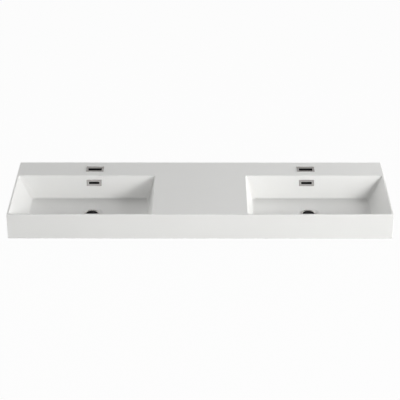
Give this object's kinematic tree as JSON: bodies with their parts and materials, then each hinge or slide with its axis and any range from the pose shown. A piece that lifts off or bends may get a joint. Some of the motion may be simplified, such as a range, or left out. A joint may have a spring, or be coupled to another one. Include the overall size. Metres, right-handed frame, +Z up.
{
  "type": "double vanity top with integral sinks",
  "caption": "Deep-aproned vanity top with side-by-side rectangular bowls, chrome-trimmed tap slots and overflows, and push-to-close wastes.",
  "frame": {"origin": "middle of the back face's bottom edge, on the plane that the aprons rest on", "axes": "+X to the right seen from the front, +Y to the wall, +Z up; the front apron faces -Y"},
  "size_m": [1.5, 0.48, 0.1731],
  "materials": {
    "stone_resin": "matt moulded gel coat",
    "black_abs": "moulded, dull",
    "chrome_trim": "polished",
    "chromed_brass": "polished",
    "stainless_plate": "rolled and pressed",
    "stainless_screw": "turned",
    "brass": "turned and knurled",
    "white_nylon": "moulded",
    "black_rubber": "moulded",
    "black_plug": "matt black enamel on brass"
  },
  "bodies": {
    "top": {"basin_top": "stone_resin", "fixing_inserts": "brass", "left_overflow_channel": "black_abs", "left_overflow_trim": "chrome_trim", "left_overflow_seal": "black_rubber", "left_tap_slot_trim": "chrome_trim", "left_tap_slot_seal": "black_rubber", "left_tap_slot_clamp": "stainless_plate", "left_tap_slot_screws": "stainless_screw", "left_waste_body": "chromed_brass", "left_waste_top_seal": "black_rubber", "left_waste_lower_seal": "black_rubber", "left_waste_washer": "white_nylon", "left_waste_nut": "chromed_brass", "left_click_cartridge": "white_nylon", "right_overflow_channel": "black_abs", "right_overflow_trim": "chrome_trim", "right_overflow_seal": "black_rubber", "right_tap_slot_trim": "chrome_trim", "right_tap_slot_seal": "black_rubber", "right_tap_slot_clamp": "stainless_plate", "right_tap_slot_screws": "stainless_screw", "right_waste_body": "chromed_brass", "right_waste_top_seal": "black_rubber", "right_waste_lower_seal": "black_rubber", "right_waste_washer": "white_nylon", "right_waste_nut": "chromed_brass", "right_click_cartridge": "white_nylon"},
    "left_plug": {"left_waste_plug": "black_plug", "left_plug_seal": "black_rubber"},
    "right_plug": {"right_waste_plug": "black_plug", "right_plug_seal": "black_rubber"}
  },
  "joints": [
    {"name": "left_plug_slide", "type": "slide", "parent": "top", "child": "left_plug", "axis": [0, 0, 1], "range_m": [0, 0.009]},
    {"name": "right_plug_slide", "type": "slide", "parent": "top", "child": "right_plug", "axis": [0, 0, 1], "range_m": [0, 0.009]}
  ]
}
